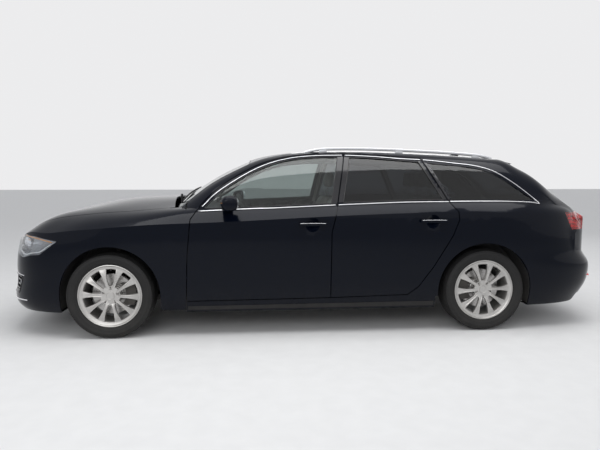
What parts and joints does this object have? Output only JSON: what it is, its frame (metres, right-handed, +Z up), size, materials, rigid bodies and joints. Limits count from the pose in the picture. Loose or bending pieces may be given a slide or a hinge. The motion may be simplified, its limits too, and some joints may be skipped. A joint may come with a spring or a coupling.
{
  "type": "station wagon",
  "caption": "Five door station wagon on alloy wheels, with opening doors, hood and tailgate, steered front wheels and a hollow furnished cabin.",
  "frame": {"origin": "on the ground under the middle of the car, halfway between nose and tail", "axes": "-X forwards, -Y to the car's left side, +Z up"},
  "size_m": [4.9431, 2.086, 1.4616],
  "materials": {
    "paint": "gloss",
    "glass_dark": "gloss",
    "glass_clear": "gloss",
    "lamp_clear": "gloss",
    "lamp_red": "gloss",
    "rail": "satin",
    "grille": "gloss",
    "trim": "matte",
    "tyre": "matte",
    "alloy": "satin",
    "chassis": "matte",
    "exhaust": "satin",
    "seat": "matte",
    "cabin": "matte"
  },
  "bodies": {
    "body": {"side_frames": "paint", "roof_panel": "paint", "floor_pan": "trim", "fenders": "paint", "front_bumper": "paint", "rear_bumper": "paint", "grille": "grille", "headlamps": "lamp_clear", "tail_lamps": "lamp_red", "windscreen": "glass_clear", "quarter_glass": "glass_dark", "roof_rails": "rail", "cowl_panel": "trim", "wipers": "trim", "engine_block": "chassis", "exhaust": "exhaust", "front_axle": "chassis", "rear_axle": "chassis", "front_seats": "seat", "rear_bench": "seat", "dashboard": "cabin"},
    "hood": {"hood": "paint"},
    "tailgate": {"tailgate": "paint", "tailgate_glass": "glass_dark", "tailgate_lamps": "lamp_red"},
    "steering_wheel": {"steering_wheel": "cabin"},
    "front_door_left": {"door_front_left": "paint", "door_glass_front_left": "glass_clear", "mirror_left": "paint"},
    "rear_door_left": {"door_rear_left": "paint", "door_glass_rear_left": "glass_dark"},
    "knuckle_left": {"knuckle_left": "chassis"},
    "wheel_front_left": {"tyre_front_left": "tyre", "rim_front_left": "alloy"},
    "wheel_rear_left": {"tyre_rear_left": "tyre", "rim_rear_left": "alloy"},
    "front_door_right": {"door_front_right": "paint", "door_glass_front_right": "glass_clear", "mirror_right": "paint"},
    "rear_door_right": {"door_rear_right": "paint", "door_glass_rear_right": "glass_dark"},
    "knuckle_right": {"knuckle_right": "chassis"},
    "wheel_front_right": {"tyre_front_right": "tyre", "rim_front_right": "alloy"},
    "wheel_rear_right": {"tyre_rear_right": "tyre", "rim_rear_right": "alloy"}
  },
  "joints": [
    {"name": "front_door_left_hinge", "type": "hinge", "parent": "body", "child": "front_door_left", "pos_m": [-0.955, -0.936, 0.6], "axis": [0, 0, -1], "range_deg": [0, 65]},
    {"name": "rear_door_left_hinge", "type": "hinge", "parent": "body", "child": "rear_door_left", "pos_m": [0.152, -0.936, 0.6], "axis": [0, 0, -1], "range_deg": [0, 65]},
    {"name": "front_door_right_hinge", "type": "hinge", "parent": "body", "child": "front_door_right", "pos_m": [-0.955, 0.936, 0.6], "axis": [0, 0, 1], "range_deg": [0, 65]},
    {"name": "rear_door_right_hinge", "type": "hinge", "parent": "body", "child": "rear_door_right", "pos_m": [0.152, 0.936, 0.6], "axis": [0, 0, 1], "range_deg": [0, 65]},
    {"name": "hood_hinge", "type": "hinge", "parent": "body", "child": "hood", "pos_m": [-1.11, 0, 1.005], "axis": [0, 1, 0], "range_deg": [0, 50]},
    {"name": "tailgate_hinge", "type": "hinge", "parent": "body", "child": "tailgate", "pos_m": [1.676, 0, 1.372], "axis": [0, -1, 0], "range_deg": [0, 75]},
    {"name": "steer_left", "type": "hinge", "parent": "body", "child": "knuckle_left", "pos_m": [-1.5545, -0.74, 0.325], "axis": [0, 0, 1], "range_deg": [-35, 35]},
    {"name": "wheel_front_left_spin", "type": "hinge", "parent": "knuckle_left", "child": "wheel_front_left", "pos_m": [-1.5545, -0.806, 0.325], "axis": [0, 1, 0], "continuous": true},
    {"name": "wheel_rear_left_spin", "type": "hinge", "parent": "body", "child": "wheel_rear_left", "pos_m": [1.3575, -0.806, 0.325], "axis": [0, 1, 0], "continuous": true},
    {"name": "steer_right", "type": "hinge", "parent": "body", "child": "knuckle_right", "pos_m": [-1.5545, 0.74, 0.325], "axis": [0, 0, 1], "range_deg": [-35, 35]},
    {"name": "wheel_front_right_spin", "type": "hinge", "parent": "knuckle_right", "child": "wheel_front_right", "pos_m": [-1.5545, 0.806, 0.325], "axis": [0, 1, 0], "continuous": true},
    {"name": "wheel_rear_right_spin", "type": "hinge", "parent": "body", "child": "wheel_rear_right", "pos_m": [1.3575, 0.806, 0.325], "axis": [0, 1, 0], "continuous": true},
    {"name": "steering_wheel_turn", "type": "hinge", "parent": "body", "child": "steering_wheel", "pos_m": [-0.52, -0.37, 0.905], "axis": [0.8829, 0, 0.4695], "range_deg": [-525, 525]}
  ],
  "couplings": [
    {"joint": "steer_right", "follows": "steer_left", "ratio": 1},
    {"joint": "steering_wheel_turn", "follows": "steer_left", "ratio": 15}
  ]
}
